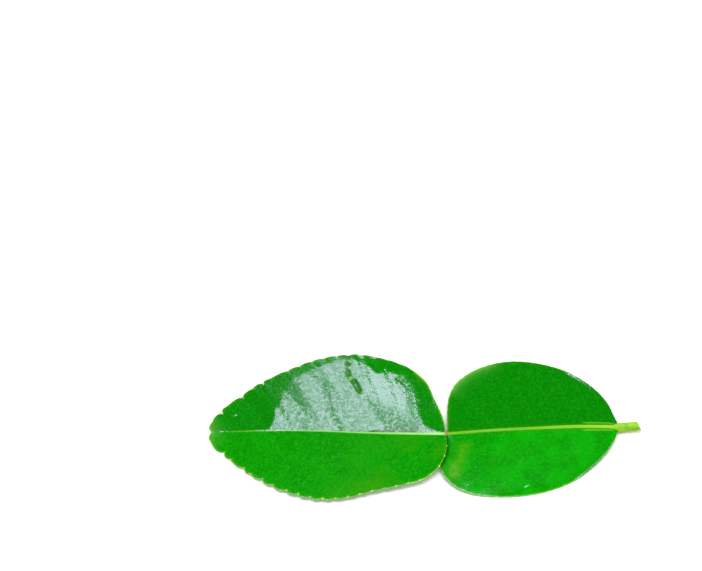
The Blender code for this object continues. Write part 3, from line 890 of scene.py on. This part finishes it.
def gland_tree():
    """Flattened beads on points, each as large as its size attribute says and turned at random."""
    tree = bpy.data.node_groups.new("Beads_on_points", "GeometryNodeTree")
    for name, kind, flow in (
        ("Points", "NodeSocketGeometry", "INPUT"), ("Roundness", "NodeSocketInt", "INPUT"),
        ("Flatness", "NodeSocketFloat", "INPUT"), ("Seed", "NodeSocketInt", "INPUT"),
        ("Skin", "NodeSocketMaterial", "INPUT"), ("Beads", "NodeSocketGeometry", "OUTPUT"),
    ):
        tree.interface.new_socket(name, in_out=flow, socket_type=kind)
    given = tree.nodes.new("NodeGroupInput")
    size = add_node(tree, "GeometryNodeInputNamedAttribute", {"Name": "size"}, data_type="FLOAT")
    points = add_node(tree, "GeometryNodeMeshToPoints", {"Mesh": given.outputs["Points"]})
    bead = add_node(
        tree, "GeometryNodeMeshIcoSphere", {"Radius": 1.0, "Subdivisions": given.outputs["Roundness"]})
    flat = add_node(tree, "ShaderNodeCombineXYZ", {0: 1.2, 1: 1.0, 2: given.outputs["Flatness"]})
    bead = add_node(
        tree, "GeometryNodeTransform", {"Geometry": bead.outputs["Mesh"], "Scale": flat.outputs[0]})
    turn = add_node(
        tree, "FunctionNodeRandomValue", {"Min": (-0.3, -0.3, 0), "Max": (0.3, 0.3, 6.3)},
        data_type="FLOAT_VECTOR")
    tree.links.new(given.outputs["Seed"], turn.inputs["Seed"])
    beads = add_node(
        tree, "GeometryNodeInstanceOnPoints",
        {"Points": points.outputs["Points"], "Instance": bead.outputs["Geometry"],
         "Rotation": turn.outputs["Value"], "Scale": size.outputs["Attribute"]})
    real = add_node(tree, "GeometryNodeRealizeInstances", {"Geometry": beads.outputs["Instances"]})
    smooth = add_node(tree, "GeometryNodeSetShadeSmooth", {"Geometry": real.outputs["Geometry"]})
    skin = add_node(
        tree, "GeometryNodeSetMaterial",
        {"Geometry": smooth.outputs["Geometry"], "Material": given.outputs["Skin"]})
    end = tree.nodes.new("NodeGroupOutput")
    tree.links.new(skin.outputs["Geometry"], end.inputs["Beads"])
    return tree


def gland_skin():
    material, tree, shader, coordinates = bare_skin("gland_skin")
    tone = add_node(tree, "ShaderNodeTexNoise", {"Vector": coordinates, "Scale": 700, "Detail": 2})
    colour = mixed(
        tree, spread(tree, tone.outputs["Fac"], 0.35, 0.65), (0.22, 0.50, 0.002, 1), (0.50, 0.68, 0.02, 1))
    tree.links.new(colour, shader.inputs["Base Color"])
    shader.inputs["Roughness"].default_value = 0.4
    return material


rng = np.random.default_rng(24)
gland_points, gland_sizes = [], []
for plan, scale in ((BLADE, 1.0), (WING, 0.55)):
    notches = np.arange(1, plan["scallops"] - 1) / plan["scallops"]
    for side in (-1, 1):
        points = lamina_surface(plan, notches, np.full(len(notches), side * 1.0))[0]
        points[:, 2] += LAMINA / 2
        gland_points.append(points + JOINT)
        gland_sizes.append(GLAND * scale * rng.uniform(0.5, 1.1, len(notches)))
glands = grown(
    "margin_glands", gland_tree(), np.concatenate(gland_points), [],
    {"size": np.concatenate(gland_sizes)},
    {"Roundness": 2, "Flatness": 0.75, "Seed": 5, "Skin": gland_skin()})
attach(glands, "root")
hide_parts("leaf")

# Surface, light and camera
# A white surface under one large soft lamp straight above, which the raised half of the blade
# mirrors to the eye, with a lamp that only the curled rim mirrors, pale panels on all four sides
# and a weak broad light from the front.

floor_mesh = bpy.data.meshes.new("floor")
reach = 2.0
floor_mesh.from_pydata(
    [(x, y, -0.02 * MM) for x, y in ((-reach, -reach), (reach, -reach), (reach, reach), (-reach, reach))],
    [], [(0, 1, 2, 3)])
floor = bpy.data.objects.new("floor", floor_mesh)
bpy.context.scene.collection.objects.link(floor)
paper = bpy.data.materials.new("white_surface")
paper.use_nodes = True
for socket, value in (
    ("Base Color", (0.72, 0.74, 0.60, 1)), ("Roughness", 0.9), ("Specular IOR Level", 0),
    ("Emission Color", (1, 1, 1, 1)), ("Emission Strength", 0.02),
):
    paper.node_tree.nodes["Principled BSDF"].inputs[socket].default_value = value
floor_mesh.materials.append(paper)


def lamp(name, place, aim, size, power, colour, mirrored, lights=True):
    """A flat lamp that the leaf may mirror, and that may light it."""
    light = bpy.data.lights.new(name, "AREA")
    light.shape = "RECTANGLE"
    light.size, light.size_y = size
    light.energy = power
    light.color = colour
    holder = bpy.data.objects.new(name, light)
    holder.location = place
    holder.rotation_euler = (Vector(aim) - Vector(place)).to_track_quat("-Z", "Y").to_euler()
    holder.visible_glossy = mirrored
    holder.visible_diffuse = lights
    bpy.context.scene.collection.objects.link(holder)


LAMP_BLUE = (0.74, 0.70, 1.0)
WHITE = (1.0, 1.0, 1.0)
lamp("overhead", (-0.06, -0.04, 0.95), (-0.06, -0.0399, 0), (0.68, 0.32), 11.2, LAMP_BLUE, True)
lamp("right_rim", (0.62, -0.06, 0.95), (0.62, -0.0599, 0), (0.45, 0.28), 6.5, LAMP_BLUE, True, False)
for side, (across, along) in enumerate(((1, 0), (0, 1), (-1, 0), (0, -1))):
    place = (1.1 * across, 1.1 * along, 0.42)
    lamp("side_panel_%d" % side, place, (0, 0, 0.1), (1.4, 0.4), 1.2, WHITE, True)
lamp("front_fill", (0, -0.9, 0.62), (0, 0, 0), (0.8, 0.8), 2.5, WHITE, False)
lamp("back_fill", (0.2, 0.95, 0.55), (0, 0, 0), (0.5, 0.3), 6.5, WHITE, False)

world = bpy.data.worlds.new("studio")
world.use_nodes = True
bpy.context.scene.world = world
tree = world.node_tree
sky = tree.nodes["Background"]
rays = add_node(tree, "ShaderNodeLightPath")
strength = add_node(
    tree, "ShaderNodeMix", {0: rays.outputs["Is Camera Ray"], 2: 0.75, 3: 1.0}, data_type="FLOAT")
tree.links.new(strength.outputs[0], sky.inputs["Strength"])
sky.inputs["Color"].default_value = (1, 1, 1, 1)
world.cycles_visibility.glossy = False

camera_data = bpy.data.cameras.new("camera")
camera_data.lens = 85
camera_data.sensor_width = 36
camera = bpy.data.objects.new("camera", camera_data)
camera.location = (-0.02004, -0.21161, 0.39802)
camera.rotation_euler = (math.radians(33), 0, 0)
bpy.context.scene.collection.objects.link(camera)
bpy.context.scene.camera = camera
bpy.context.scene.view_settings.view_transform = "Standard"
bpy.context.scene.view_settings.look = "None"
